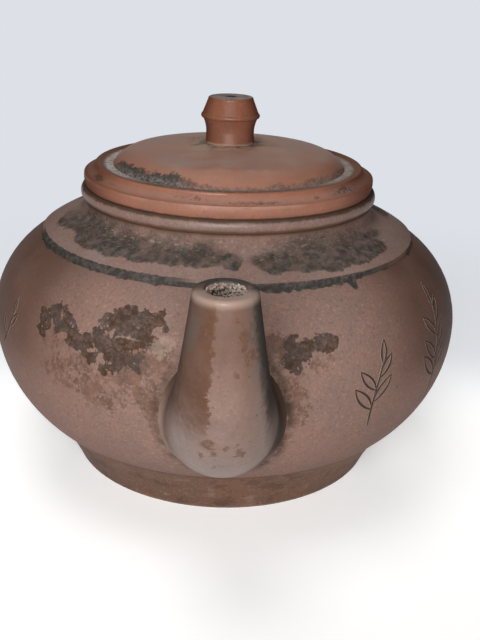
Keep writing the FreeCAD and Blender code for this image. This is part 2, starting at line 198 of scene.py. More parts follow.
class Surface:
    """A material built up in layers, with its place on the pot in millimetres and degrees."""

    def __init__(self, name, colour, roughness, sheen):
        self.material = bpy.data.materials.new(name)
        self.material.use_nodes = True
        self.tree = self.material.node_tree
        self.shader = self.tree.nodes["Principled BSDF"]
        self.coordinates = self.tree.nodes.new("ShaderNodeTexCoord")
        place = self.tree.nodes.new("ShaderNodeSeparateXYZ")
        self.tree.links.new(self.coordinates.outputs["Object"], place.inputs[0])
        self.x = Field(self.tree, place.outputs["X"]) / MM
        self.y = Field(self.tree, place.outputs["Y"]) / MM
        self.z = Field(self.tree, place.outputs["Z"]) / MM
        self.angle = math_field(self.tree, "ARCTAN2", self.x, 0 - self.y) * math.degrees(1)
        self.radius = math_field(self.tree, "SQRT", self.x * self.x + self.y * self.y)
        normal = self.tree.nodes.new("ShaderNodeSeparateXYZ")
        self.tree.links.new(self.coordinates.outputs["Normal"], normal.inputs[0])
        self.normal_z = Field(self.tree, normal.outputs["Z"])
        normal_x = Field(self.tree, normal.outputs["X"])
        normal_y = Field(self.tree, normal.outputs["Y"])
        self.outward = (normal_x * self.x + normal_y * self.y) / self.radius
        self.colour = colour
        self.roughness = roughness
        self.sheen = sheen
        self.clean_sheen = sheen
        self.height = None

    def noise(self, size, detail=2.0, rough=0.5, stretch=(1, 1, 1), shift=0.0):
        """Soft random clouds about as large as size, longer along an axis with a small stretch."""
        mapping = self.tree.nodes.new("ShaderNodeMapping")
        self.tree.links.new(self.coordinates.outputs["Object"], mapping.inputs["Vector"])
        mapping.inputs["Scale"].default_value = [share / (size * MM) for share in stretch]
        mapping.inputs["Location"].default_value = (shift, shift, shift)
        texture = self.tree.nodes.new("ShaderNodeTexNoise")
        texture.inputs["Scale"].default_value = 1.0
        texture.inputs["Detail"].default_value = detail
        texture.inputs["Roughness"].default_value = rough
        self.tree.links.new(mapping.outputs[0], texture.inputs["Vector"])
        return Field(self.tree, texture.outputs[0])

    def mix(self, mask, first, second):
        """A colour that goes from first to second as the mask goes from 0 to 1."""
        node = self.tree.nodes.new("ShaderNodeMix")
        node.data_type = "RGBA"
        factor, first_plug, second_plug = node.inputs[0], node.inputs[6], node.inputs[7]
        plug(self.tree, factor, mask)
        for socket, colour in ((first_plug, first), (second_plug, second)):
            if isinstance(colour, tuple):
                socket.default_value = (*colour, 1.0)
            else:
                self.tree.links.new(colour, socket)
        return node.outputs[2]

    def cover(self, mask, colour, roughness=None, lift=0.0):
        """Lay a colour over what is there, with its own roughness, raised by lift millimetres."""
        self.colour = self.mix(mask, self.colour, colour)
        if roughness is not None:
            self.roughness = self.roughness + mask * (roughness - self.roughness)
            if roughness >= MATT:
                self.sheen = self.sheen * (1 - mask * SHEEN_LOST)
        if lift:
            self.raise_by(mask * lift)

    def raise_by(self, height):
        """Add a height in millimetres to the relief."""
        self.height = height if self.height is None else self.height + height

    def blots(self, places, warp, size, height=None):
        """The highest of several soft spots, by angle and height, whose outlines wander by warp."""
        height = self.z if height is None else height
        wander = self.noise(size=size, detail=3, shift=3.1) - 0.5
        drift = self.noise(size=size, detail=3, shift=8.7) - 0.5
        angle = self.angle + wander * warp
        height = height + drift * warp
        field = None
        for place_angle, place_height, half_angle, half_height, strength in places:
            across = (angle - place_angle) / half_angle
            along = (height - place_height) / half_height
            spot = strength * (1 - across * across - along * along)
            field = spot if field is None else field.most(spot)
        return field

    def done(self):
        """Join the layers to the shader and give the material."""
        self.tree.links.new(self.colour, self.shader.inputs["Base Color"])
        plug(self.tree, self.shader.inputs["Roughness"], self.roughness)
        specular = self.shader.inputs["Specular IOR Level"]
        # An export that drops the layers' sheen keeps that of the clean clay
        specular.default_value = self.clean_sheen
        plug(self.tree, specular, self.sheen)
        bump = self.tree.nodes.new("ShaderNodeBump")
        bump.inputs["Distance"].default_value = MM
        plug(self.tree, bump.inputs["Height"], self.height)
        self.tree.links.new(bump.outputs["Normal"], self.shader.inputs["Normal"])
        return self.material


def clay(name, warm, cool, roughness, sheen, sandy=0.55):
    """Fired clay in two cloudy tones, with sand grains and the fine rings of turning."""
    s = Surface(name, None, roughness, sheen)
    clouds = s.noise(size=34, detail=3)
    mottle = s.noise(size=5, detail=5, rough=0.65, shift=2.3)
    s.colour = s.mix((clouds * 0.5 + mottle * 0.5).rise(0.40, 0.60), cool, warm)
    grain = s.noise(size=0.8, detail=3, rough=0.7)
    specks = s.noise(size=2.0, detail=3, rough=0.6, shift=5.9)
    s.cover(grain.rise(0.54, 0.74) * sandy, GRAIN_PALE)
    s.cover(grain.fall(0.28, 0.46) * sandy, GRAIN_DARK)
    s.cover(specks.rise(0.68, 0.76) * 0.6, GRAIN_DARK)
    s.roughness = roughness + (mottle - 0.5) * 0.25
    rings = s.noise(size=1.1, detail=2, stretch=(0.03, 0.03, 1), shift=1.7)
    s.raise_by((grain - 0.5) * 0.07 + (clouds - 0.5) * 0.35 + (rings - 0.5) * 0.03)
    return s


def pot_clay(name):
    """The matt brown clay of the pot."""
    return clay(name, BELLY_WARM, BELLY_COOL, roughness=0.64, sheen=0.08)


def lid_clay(name):
    """The redder clay of the lid, smoothed by hands."""
    return clay(name, LID_WARM, LID_COOL, roughness=0.46, sheen=0.55, sandy=0.22)


def film(s, strength):
    """A thin grey film of dust on what faces up."""
    patchy = s.noise(size=14, detail=4, rough=0.6, shift=4.4).rise(0.30, 0.70)
    s.cover(s.normal_z.rise(0.55, 1.0) * patchy * strength, DUST, roughness=0.8)


def lining(s, colour=TEA_DARK):
    """Tea stain on the faces that look at the pot's axis."""
    s.cover(s.outward.fall(-0.3, -0.1), colour, roughness=0.6)


def torn(s, size, shift, crisp=False):
    """Clouds about zero whose outlines are broken finely or, where crisp, run in clean fingers."""
    if crisp:
        return s.noise(size=size, detail=3, rough=0.55, shift=shift) - 0.5
    coarse = s.noise(size=size, detail=6, rough=0.72, shift=shift) - 0.5
    fine = s.noise(size=size / 3, detail=4, rough=0.7, shift=shift + 4.7) - 0.5
    return coarse + fine * 0.6


def stain(s, field, ragged, size, colours, strength=1.0, soft=0.10, lift=0.04, crisp=False):
    """A crusty stain where a field is high, with a ragged edge, thin places and pale crumbs."""
    thin = s.noise(size=1.6, detail=4, rough=0.7, shift=2.8)
    mask = (field + torn(s, size, shift=6.2, crisp=crisp) * ragged).rise(0.30, 0.30 + soft)
    mask = mask * (0.66 + thin.rise(0.35, 0.60) * 0.34) * strength
    cloudy = s.noise(size=5, detail=4, rough=0.6, shift=9.3)
    s.cover(mask, s.mix(cloudy.rise(0.38, 0.62), *colours), roughness=0.75, lift=lift)
    flecks = s.noise(size=1.3, detail=4, rough=0.65, shift=11.5).rise(0.60, 0.69)
    s.cover(mask * flecks * 0.55, SCUFF)


# Stains on the belly: angle and height of each spot's middle, its half sizes, and its strength
BELLY_CRUST = [
    (-44.5, 60.5, 2.6, 3.6, 1.2),
    (-41.5, 63.6, 3.4, 2.8, 1.2),
    (-37.0, 62.2, 4.0, 3.4, 1.3),
    (-32.3, 59.6, 4.6, 4.0, 1.3),
    (-21.5, 66.0, 7.4, 4.4, 1.3),
    (-20.5, 62.4, 7.6, 4.0, 1.3),
    (-15.3, 66.6, 3.6, 2.4, 1.0),
    (-23.6, 58.8, 7.8, 6.2, 1.1),
    (16.4, 61.8, 4.6, 3.6, 1.2),
    (21.6, 62.4, 4.0, 3.2, 1.4),
    (14.0, 58.4, 3.6, 3.0, 1.0),
    (-118.0, 61.0, 9.0, 4.0, 1.0),
    (122.0, 59.0, 7.0, 5.0, 1.0),
    (168.0, 66.0, 9.0, 3.0, 0.9),
]
BELLY_SPLASH = [
    (-20.0, 53.0, 9.0, 7.5, 0.9),
    (-31.0, 54.0, 6.0, 6.0, 0.75),
    (-39.0, 57.0, 5.0, 5.0, 0.5),
    (-13.4, 59.0, 4.4, 8.0, 0.9),
    (-17.5, 57.6, 6.0, 7.0, 1.1),
    (-27.0, 47.0, 9.0, 8.0, 0.8),
    (-37.5, 49.5, 7.0, 6.0, 0.6),
    (-15.0, 46.0, 4.5, 9.0, 0.8),
    (14.5, 47.0, 4.0, 12.0, 0.75),
    (11.4, 61.0, 6.4, 5.6, 1.8),
    (20.0, 58.0, 5.0, 5.0, 0.55),
    (-104.0, 56.0, 6.0, 6.0, 0.7),
    (138.0, 52.0, 8.0, 8.0, 0.7),
    (150.0, 40.0, 8.0, 9.0, 0.7),
    (-150.0, 44.0, 8.0, 9.0, 0.7),
]
BELLY_SCUFF = [
    (-13.0, 61.5, 3.2, 4.2, 0.9),
    (10.8, 57.5, 2.4, 5.0, 0.8),
    (-21.0, 62.3, 7.0, 0.4, 0.7),
]


def belly_clay():
    """The belly: painted shade on its sides, crusted beside the spout, sooty under the shoulder's
    step, tea-stained inside.
    """
    s = pot_clay("belly_clay")
    # Painted shade on the belly's sides away from the spout, deeper on its right, in patches where
    # rubbed is high
    right_side = s.x.rise(4, 12)
    painted_side_shade = s.angle.size().rise(26, 58) * s.z.rise(38, 54)
    rubbed = s.noise(size=16, detail=4, rough=0.6, shift=7.7).rise(0.35, 0.65)
    s.cover(painted_side_shade * (0.64 + right_side * 0.12 + rubbed * 0.22), PAINTED_SIDE_SHADE, roughness=0.55)
    grime = s.noise(size=4, detail=4, rough=0.6, shift=1.3)
    splash = s.blots(BELLY_SPLASH, warp=3.0, size=5)
    stain(s, splash, ragged=3.2, size=3.0, colours=(TEA_STAIN, CRUST_BROWN), strength=0.65, soft=0.5)
    crust = s.blots(BELLY_CRUST, warp=5.0, size=4.5)
    stain(s, crust, ragged=3.4, size=3.0, colours=(CRUST_BROWN, CRUST_GREY), crisp=True)
    scuff = s.blots(BELLY_SCUFF, warp=2.0, size=3)
    s.cover((scuff + torn(s, size=2.4, shift=7.4) * 3.0).rise(0.2, 0.9) * 0.45, SCUFF)
    # Dirt round the spout's root with painted shade in the crease there, deeper on its right as a
    # painted shadow of the spout
    across = s.x / ROOT_HALF_WIDTH
    along = (s.z - ROOT_MIDDLE) / ROOT_HALF_HEIGHT
    root = across * across + along * along + s.y.rise(-40, -20) * 9
    dirt = root.fall(1.0, 1.35) * grime.rise(0.30, 0.60) * (0.55 + right_side * 0.3)
    s.cover(dirt, CRUST_BROWN, roughness=0.7)
    below = level("shoulder_plate", 0) - s.z
    s.cover((step_depth(s) - below).rise(0.0, 0.2), soot_colour(s), roughness=0.85, lift=0.06)
    above_foot = s.z - level("body_wall", 0)
    s.cover((above_foot + grime * 2).fall(1.2, 2.8) * 0.8, FOOT_COOL, roughness=0.75)
    lining(s)
    return s.done()


def soot_colour(s):
    """Soot, greyed by dust in patches."""
    return s.mix(s.noise(size=1.8, detail=5, rough=0.7, shift=6.6).rise(0.42, 0.64), SOOT, SOOT_PALE)


def step_depth(s):
    """How far the dirt in the step under the shoulder reaches down the belly, in millimetres."""
    uneven = s.noise(size=7, detail=4, rough=0.65, stretch=(1, 1, 0), shift=2.9) - 0.5
    left_side = s.angle.rise(-84, -66) * s.angle.fall(-4, 4) * 0.1
    right_side = s.angle.rise(2, 12) * s.angle.fall(35, 42) * 0.6
    drip = (s.angle - 35.4).size().fall(0.5, 1.7) * 1.3
    back = s.angle.size().rise(100, 120) * 0.5
    ragged = torn(s, size=1.8, shift=4.1, crisp=True) * 1.2
    return uneven * 2.4 + left_side + right_side + drip + back + ragged


def shoulder_clay():
    """The shoulder: a smoky belt of soot, a rubbed rim and dirt on the proud edge below it."""
    s = pot_clay("shoulder_clay")
    film(s, strength=0.30)
    soot_belt(s)
    past_rim = s.radius - reach("shoulder_plate")
    at_rim = s.normal_z.fall(0.55, 0.75) * (past_rim + RIM_WIDTH).rise(0.0, 0.2)
    front = s.angle.rise(-90, -66) * s.angle.fall(42, 62)
    patches = s.noise(size=11, detail=4, rough=0.6, stretch=(1, 1, 0), shift=5.2).rise(0.46, 0.56)
    worn = s.noise(size=2.2, detail=4, rough=0.7, shift=2.7).rise(0.24, 0.34)
    s.cover(at_rim * 0.6, TEA_STAIN, roughness=0.7)
    s.cover(at_rim * front.most(patches * 0.8) * worn, soot_colour(s), roughness=0.85)
    lapped = (past_rim + LAP_WIDTH + torn(s, size=2.0, shift=3.3)).rise(0.0, 0.3)
    front_left = s.angle.rise(-84, -72) * s.angle.fall(-16, -6)
    s.cover(lapped * front_left * worn, soot_colour(s), roughness=0.85)
    lining(s)
    return s.done()


# Clouds of soot on the shoulder and neck: angle and radius of each, half sizes, and strength
SOOT_CLOUDS = [
    (-72.0, 51.0, 12.0, 4.0, 0.6),
    (-60.0, 48.6, 11.0, 4.4, 1.1),
    (-48.0, 50.4, 12.0, 5.0, 1.3),
    (-37.0, 50.4, 12.0, 5.0, 1.2),
    (-28.0, 50.8, 11.0, 4.8, 1.2),
    (-18.0, 50.4, 12.0, 4.6, 1.1),
    (-8.0, 50.4, 9.0, 4.6, 1.2),
    (1.4, 51.4, 3.8, 3.6, 1.2),
    (15.5, 52.0, 8.0, 4.6, 1.4),
    (24.5, 52.6, 10.0, 4.4, 1.2),
    (33.5, 53.0, 10.0, 4.6, 1.4),
    (44.0, 53.0, 11.0, 4.4, 1.3),
    (54.0, 53.4, 7.0, 3.0, 1.0),
    (58.0, 49.4, 9.0, 2.0, 0.7),
    (30.0, 48.0, 14.0, 3.0, 0.5),
    (45.0, 48.6, 12.0, 3.0, 0.6),
    (104.0, 51.0, 14.0, 3.6, 0.9),
    (-118.0, 52.0, 14.0, 3.8, 1.0),
    (-150.0, 50.6, 13.0, 3.0, 0.8),
    (164.0, 51.4, 15.0, 3.6, 1.0),
]


def soot_belt(s):
    """Soot that washed down the shoulder: ragged along its lower edge and smoky above."""
    clouds = s.blots(SOOT_CLOUDS, warp=3.0, size=6, height=s.radius)
    field = clouds + torn(s, size=3.0, shift=1.1) * 1.3
    outer = (s.radius - SOOT_CRUST_RADIUS).rise(0.0, 2.0)
    smoke = field.rise(-0.75, 0.80)
    crust = field.rise(0.00, 0.34)
    patchy = s.noise(size=3.6, detail=6, rough=0.7, shift=8.2)
    mask = (smoke + (crust - smoke) * outer) * (0.58 + patchy.rise(0.36, 0.58) * 0.40)
    brown = s.noise(size=8, detail=3, rough=0.6, shift=5.7).rise(0.42, 0.62) * 0.5
    s.cover(mask, s.mix(brown, soot_colour(s), SOOT_BROWN), roughness=0.85)
    flecks = s.noise(size=0.9, detail=3, shift=9.9).rise(0.62, 0.70)
    s.cover(smoke * flecks * (0.5 - outer * 0.3), DUST_TAN, roughness=0.9)


def neck_clay():
    """The neck: washed with soot at its foot, and brown with dirt and painted shade in the crease
    under the bead.
    """
    s = pot_clay("neck_clay")
    film(s, strength=0.35)
    soot_belt(s)
    grime = s.noise(size=5, detail=4, rough=0.6, shift=2.2)
    # Dirt and painted shade in the crease under the bead
    under_bead = level("neck_ring", 1) - s.z
    s.cover((under_bead + grime).fall(0.7, 2.0) * 0.9, TEA_STAIN, roughness=0.7)
    s.cover((under_bead + grime * 0.5).fall(0.3, 1.0) * 0.85, TEA_DARK, roughness=0.7)
    flecks = s.noise(size=1.4, detail=4, rough=0.7, stretch=(0.5, 0.5, 1.5), shift=4.9)
    cove = (s.z - level("neck_ring", 0) - COVE_HEIGHT).size().fall(0.6, 2.2)
    s.cover(cove * flecks.rise(0.56, 0.64) * 0.5, DUST_TAN, roughness=0.85)
    lining(s)
    return s.done()


def bead_clay():
    """The bead: smooth on its crown, with dirt and painted shade under the lid and in the crease
    below.
    """
    s = clay("bead_clay", BELLY_WARM, BELLY_COOL, roughness=0.44, sheen=0.40)
    film(s, strength=0.2)
    grime = s.noise(size=6, detail=5, rough=0.65, stretch=(1, 1, 0.4), shift=3.6)
    # Dirt and painted shade under the lid's band
    below_rim = level("mouth_bead", 1) - s.z
    s.cover((below_rim + (grime - 0.5) * 1.6).fall(0.3, 1.1) * 0.9, CRUST_BROWN, roughness=0.8)
    # Dirt and painted shade in the crease at the bead's foot
    above_crease = s.z - level("mouth_bead", 0)
    s.cover((above_crease + (grime - 0.5) * 2.0).fall(0.4, 1.4) * 0.9, TEA_STAIN, roughness=0.7)
    lining(s)
    return s.done()


def paint_lid_side_shade(s):
    """Painted shade on the lid's sides, away from the front."""
    s.cover(s.angle.size().rise(32, 68) * 0.92, PAINTED_LID_SHADE, roughness=MATT)


def band_clay():
    """The lid's band: paler along its upper edge, with painted shade on its sides, and dirt and
    painted shade where it rests.
    """
    s = lid_clay("band_clay")
    # Painted shade on the band's sides
    paint_lid_side_shade(s)
    # Paler along the upper edge
    edge = (level("lid_band", 1) - s.z).fall(0.1, 1.2)
    worn = s.noise(size=8, detail=3, stretch=(1, 1, 0.3), shift=4.8).rise(0.40, 0.62)
    s.cover(edge * worn * 0.35, GRAIN_PALE, roughness=0.36)
    # Dirt and painted shade along the lower edge, where the band rests on the bead
    uneven = s.noise(size=5, detail=4, rough=0.65, stretch=(1, 1, 0.4), shift=6.1)
    low = (s.z - level("lid_band", 0) + uneven - 0.5).fall(0.1, 0.6)
    s.cover(low * 0.8, TEA_DARK, roughness=0.7)
    lining(s, TEA_STAIN)
    return s.done()


# Dirt on the tread of the lid's step, as on the shoulder
TREAD_DIRT = [
    (10.0, 44.0, 14.0, 0.8, 0.8),
    (-13.0, 43.2, 11.0, 0.9, 0.6),
    (35.0, 43.8, 2.4, 0.8, 0.9),
    (52.0, 43.4, 14.0, 1.3, 1.1),
    (-63.0, 43.4, 8.0, 1.2, 1.1),
    (-51.0, 43.6, 4.0, 0.6, 0.6),
    (118.0, 43.4, 16.0, 1.0, 0.7),
    (-134.0, 43.4, 20.0, 1.0, 0.7),
]


def ledge_clay():
    """The lid's step: dark specks along the tread and grey dust in the channel."""
    s = lid_clay("ledge_clay")
    film(s, strength=0.15)
    # Painted shade on the step's sides
    paint_lid_side_shade(s)
    tread = (s.radius - TREAD_RADIUS).size().fall(0.3, 1.5)
    s.cover(tread * 0.15, DUST, roughness=0.6)
    dirt = s.blots(TREAD_DIRT, warp=1.5, size=2.5, height=s.radius)
    dirt = dirt + torn(s, size=1.3, shift=5.1) * 2.4
    crumbly = s.noise(size=1.1, detail=4, rough=0.7, shift=6.4)
    dusty = crumbly.rise(0.42, 0.60) * s.angle.rise(24, 40)
    s.cover(dirt.rise(0.25, 1.05) * 0.72, s.mix(dusty, CRUST_BROWN, SOOT_DUST), roughness=0.85)
    inner = (reach("lid_ledge") - CHANNEL_INSET - s.radius).rise(0.0, 1.8)
    sides = s.angle.size().rise(34, 62)
    patchy = s.noise(size=1.5, detail=5, rough=0.7, shift=2.1)
    s.cover(inner * (0.35 + patchy.rise(0.36, 0.58) * 0.45), SOOT_DUST, roughness=0.9)
    s.cover(inner * (1 - sides) * 0.4, SOOT_BROWN, roughness=0.9)
    thick = (0.30 + patchy.rise(0.38, 0.58) * 0.68) * (0.55 + s.x.fall(-10, 10) * 0.45)
    s.cover(inner * sides * thick, DUST_THICK, roughness=0.9, lift=0.08)
    sandy = s.noise(size=1.0, detail=3, shift=7.9).rise(0.50, 0.64)
    s.cover(inner * sandy * 0.5, DUST_TAN, roughness=0.9)
    lining(s, TEA_STAIN)
    return s.done()


def dome_clay():
    """The dome: a painted sheen on what faces up, feathery soot round its foot, and dust on its
    crown and round the knob.
    """
    s = lid_clay("dome_clay")
    # Painted sheen: paler on the faces that look up
    s.cover(s.normal_z.rise(0.3, 0.9) * 0.18, SCUFF, roughness=0.5)
    settled = s.noise(size=9, detail=5, rough=0.65, shift=4.0)
    veil = 0.08 + settled.rise(0.40, 0.66) * 0.36
    s.cover(s.normal_z.rise(0.78, 1.0) * veil, DUST, roughness=MATT)
    foot = s.z - level("lid_dome", 0)
    left_side = (s.angle + 46).size().fall(18, 34)
    right_side = (s.angle - 60).size().fall(8, 30)
    back = s.angle.size().rise(110, 140)
    uneven = s.noise(size=7, detail=5, rough=0.7, stretch=(1, 1, 0.2), shift=3.8)
    hairs = s.noise(size=1.2, detail=4, rough=0.7, stretch=(1, 1, 0.35), shift=1.9) - 0.5
    front = s.angle.size().fall(36, 60)
    depth = (uneven - 0.26) * 2.8 + left_side * (uneven * 3.0 + 0.8) + right_side * 1.2 + back * 0.6
    depth = depth + front * (1 - left_side) * (uneven * 2.4 - 0.2)
    feather = hairs * left_side * 1.6 + torn(s, size=3.4, shift=1.9) * (0.8 + left_side * 1.4)
    soot = (depth + feather - foot).rise(0.0, 0.9) * (0.60 + left_side * 0.37)
    fleck = s.noise(size=1.0, detail=4, rough=0.7, shift=7.1).rise(0.40, 0.62)
    dusty = fleck * foot.fall(0.4, 2.4).most(right_side).most(0.22)
    s.cover(soot, s.mix(dusty, SOOT, SOOT_DUST), roughness=0.85, lift=0.03)
    from_knob = s.radius - reach("knob") + STEM_INSET
    ring = s.noise(size=3.2, detail=6, rough=0.75, shift=8.8)
    spread = from_knob + (s.noise(size=9, detail=3, shift=6.3) - 0.5) * 10
    s.cover(spread.fall(1.0, 9.0) * ring.fall(0.42, 0.56) * 0.62, SOOT_BROWN, roughness=0.85)
    s.cover(spread.fall(3.0, 20.0) * ring.rise(0.46, 0.60) * 0.60, DUST_TAN, roughness=0.85)
    strewn = s.noise(size=1.1, detail=4, rough=0.7, shift=2.4).rise(0.52, 0.66)
    drifts = s.noise(size=13, detail=5, rough=0.7, shift=1.2).rise(0.50, 0.58)
    crown = s.normal_z.rise(0.90, 0.98)
    s.cover(crown * drifts * (0.25 + strewn * 0.45), DUST_TAN, roughness=0.85)
    collar = from_knob.fall(0.2, 1.1) * (0.35 + ring.rise(0.40, 0.60) * 0.4)
    s.cover(collar, DUST_TAN, roughness=0.9, lift=0.05)
    s.cover(s.normal_z.fall(-0.2, 0.0), TEA_STAIN, roughness=0.6)
    return s.done()


def knob_clay():
    """The knob: rubbed smooth by fingers, grey on its flat top, dusty at its foot."""
    s = clay("knob_clay", KNOB_WARM, KNOB_COOL, roughness=0.42, sheen=0.40, sandy=0.22)
    # Painted shade on the knob's sides
    paint_lid_side_shade(s)
    flat = s.normal_z.rise(0.80, 0.98)
    cloudy = s.noise(size=4, detail=4, shift=3.9)
    greys = s.mix(cloudy.rise(0.35, 0.65), SOOT_DUST, DUST)
    s.cover(flat * (0.6 + cloudy * 0.4), greys, roughness=0.7)
    foot = s.z - level("knob", 0)
    s.cover((foot + cloudy).fall(0.6, 1.3) * 0.6, DUST_TAN, roughness=0.9)
    s.cover(s.radius.fall(VENT_RADIUS, VENT_RADIUS + 0.4), TEA_DARK, roughness=0.7)
    return s.done()


# Smudges down the front of the spout, as on the belly
SPOUT_SMUDGES = [
    (-1.7, 82.6, 0.9, 2.2, 1.2),
    (-1.3, 85.6, 0.7, 0.9, 0.9),
    (-1.3, 78.4, 0.5, 1.2, 0.9),
    (1.7, 85.0, 0.9, 2.6, 0.6),
    (2.6, 81.0, 1.3, 4.6, 1.0),
    (3.2, 76.4, 1.3, 3.2, 0.9),
    (1.5, 72.4, 0.4, 1.3, 1.2),
    (-1.6, 49.6, 1.3, 3.4, 1.2),
    (0.5, 49.4, 0.6, 1.6, 0.9),
    (2.4, 46.8, 1.1, 2.4, 0.8),
    (-1.2, 45.4, 0.7, 1.4, 0.8),
    (-3.0, 44.4, 0.5, 2.0, 0.9),
]


def spout_clay():
    """The spout: smooth and pale down its front, brown to its left with painted shade along its far
    left edge, black with soot and painted shade to its right, and darkened with dirt and painted
    shade at its root.
    """
    s = clay("spout_clay", SPOUT_WARM, SPOUT_COOL, roughness=0.36, sheen=0.24, sandy=0.3)
    below_lip = level("spout", 1) - s.z
    share = s.x / (LIP_RADIUS + below_lip * SPOUT_SPREAD)
    edge = torn(s, size=3.6, shift=4.6)
    cloudy = s.noise(size=7, detail=5, rough=0.65, shift=6.9)
    streaks = s.noise(size=1.8, detail=4, rough=0.65, stretch=(1, 1, 0.15), shift=3.7)
    s.cover(streaks.rise(0.50, 0.68) * 0.40, TEA_STAIN)
    s.cover(below_lip.fall(8, 30) * (0.50 + cloudy * 0.35), SPOUT_BROWN, roughness=0.44)
    right_half = (share - 0.20 + edge * 0.5).rise(0.0, 0.35)
    s.cover(right_half * (0.25 + cloudy * 0.35), TEA_STAIN, roughness=0.44)
    low_end = (s.z + edge * 12).rise(46, 64)
    left_side = (-0.22 - share + edge * 0.5).rise(0.0, 0.07) * low_end
    s.cover(left_side * (0.64 + cloudy.rise(0.30, 0.65) * 0.28), SPOUT_BROWN, roughness=MATT)
    olive = (-0.40 - share + edge * 0.7).rise(0.0, 0.4) * cloudy.rise(0.36, 0.56)
    s.cover(olive * below_lip.fall(10, 20) * 0.55, SOOT_PALE, roughness=0.45)
    upper = s.z.rise(48, 62)
    # Painted shade along the far left edge of the upper spout
    s.cover((-0.80 - share).rise(0.0, 0.18) * upper * 0.5, SOOT_BROWN, roughness=0.85)
    smudges = s.blots(SPOUT_SMUDGES, warp=1.2, size=3)
    stain(s, smudges, ragged=3.6, size=1.6, colours=(SPOUT_BROWN, TEA_STAIN),
          strength=0.66, soft=0.6, lift=0.01, crisp=True)
    smoky = (share - 0.42 + edge * 0.6).rise(0.0, 0.3) * cloudy.fall(0.44, 0.62)
    s.cover(smoky * below_lip.fall(20, 34) * 0.5, SOOT_PALE)
    # Soot and painted shade down the right edge, strongest up high
    right_soot_and_shade = (share - 0.68 + edge * 0.25).rise(0.0, 0.22)
    s.cover(right_soot_and_shade * (0.35 + upper * 0.60), SOOT, roughness=0.95)
    specks = s.noise(size=2.1, detail=3, shift=12.4).rise(0.68, 0.73)
    s.cover(specks * 0.55, CRUST_BROWN, roughness=0.6)
    # Tea dirt and painted shade where the spout meets the belly, darkest up high and on its right
    root = (s.y - SPOUT_ROOT).rise(0.0, 6.0) * s.z.rise(26, 36)
    shaded = (s.z.rise(42, 56) * 0.8).most(s.x.rise(0, 8) * 0.97)
    s.cover(root * shaded, TEA_DARK, roughness=0.7)
    spout_lip(s, below_lip, cloudy)
    return s.done()


def spout_lip(s, below_lip, cloudy):
    """The spout's lip: rubbed pale with a painted highlight in front, sooty with painted shade
    behind, and crusted inside its mouth.
    """
    from_tip = s.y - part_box("spout")[0].y / MM
    behind_mouth = from_tip.rise(9.0, 12.0)
    # Soot and painted shade behind the mouth
    s.cover(behind_mouth * below_lip.fall(4, 20) * 0.9, SOOT, roughness=0.66)
    # Wear and a painted highlight on the near lip
    s.cover(below_lip.fall(0.8, 2.8) * from_tip.fall(5.0, 9.0) * 0.62, SCUFF, roughness=0.34)
    # Soot and painted shade on the rim behind the mouth
    s.cover((below_lip + cloudy).fall(0.6, 1.8) * behind_mouth * 0.92, SOOT, roughness=0.7)
    into_mouth = from_tip - MOUTH_BEHIND_TIP
    from_axis = math_field(s.tree, "SQRT", s.x * s.x + into_mouth * into_mouth)
    lumpy = s.noise(size=0.9, detail=4, rough=0.6, shift=5.3)
    inside = from_axis.fall(LIP_BORE, LIP_BORE + 0.4)
    crusted = inside * below_lip.rise(0.2, 0.9) * below_lip.fall(4.0, 9.0)
    s.cover(crusted, s.mix(lumpy.rise(0.40, 0.60), SCALE_DARK, SCALE), roughness=0.9)


def foot_clay():
    """The foot ring and the base plate: darker, washed with tea."""
    s = clay("foot_clay", FOOT_WARM, FOOT_COOL, roughness=0.62, sheen=0.2)
    wash = s.noise(size=9, detail=5, rough=0.65, stretch=(1, 1, 1.6), shift=5.5)
    s.cover(wash.rise(0.50, 0.64) * 0.5, CRUST_BROWN, roughness=0.7)
    s.cover(wash.fall(0.32, 0.42) * 0.35, SCUFF, roughness=0.8)
    s.cover(s.z.fall(0.0, 1.2) * 0.5, SCUFF, roughness=0.85)
    return s.done()


def handle_clay():
    """The handle: polished by the hand, dirty where it meets the belly."""
    s = clay("handle_clay", BELLY_WARM, BELLY_COOL, roughness=0.44, sheen=0.3)
    cloudy = s.noise(size=8, detail=4, rough=0.6, shift=4.2)
    s.cover(cloudy.rise(0.54, 0.68) * 0.45, TEA_STAIN, roughness=0.5)
    film(s, strength=0.25)
    root = (s.radius - reach("body_wall")).fall(0.2, 3.2)
    s.cover(root * cloudy.rise(0.35, 0.60) * 0.8, CRUST_BROWN, roughness=0.75)
    return s.done()


def strainer_clay():
    """The strainer: dark with tea."""
    return clay("strainer_clay", TEA_STAIN, TEA_DARK, roughness=0.6, sheen=0.2).done()


def dress(material, *nodes):
    """Give CAD nodes a material."""
    for node in nodes:
        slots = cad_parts[node].data.materials
        slots.clear()
        slots.append(material)


def dress_pot():
    """Dress every CAD node."""
    dress(foot_clay(), "foot_ring", "base_plate")
    dress(belly_clay(), "body_wall")
    dress(shoulder_clay(), "shoulder_plate")
    dress(neck_clay(), "neck_ring")
    dress(bead_clay(), "mouth_bead")
    dress(strainer_clay(), "strainer")
    dress(spout_clay(), "spout")
    dress(handle_clay(), "handle")
    dress(band_clay(), "lid_band", "lid_flange")
    dress(ledge_clay(), "lid_ledge")
    dress(dome_clay(), "lid_dome")
    dress(knob_clay(), "knob")


class Skin:
    """The outside of a CAD node, for laying thin pieces on it."""

    def __init__(self, node):
        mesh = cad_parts[node].data
        corners = [vertex.co for vertex in mesh.vertices]
        self.tree = BVHTree.FromPolygons(corners, [face.vertices for face in mesh.polygons])

    def at(self, angle, height):
        """The point and outward normal at an angle from the spout and a height in millimetres."""
        turn = math.radians(angle)
        outward = Vector((math.sin(turn), -math.cos(turn), 0))
        start = outward * CLEAR_OF_BELLY + Vector((0, 0, height * MM))
        point, normal, _, _ = self.tree.ray_cast(start, -outward)
        return point, normal


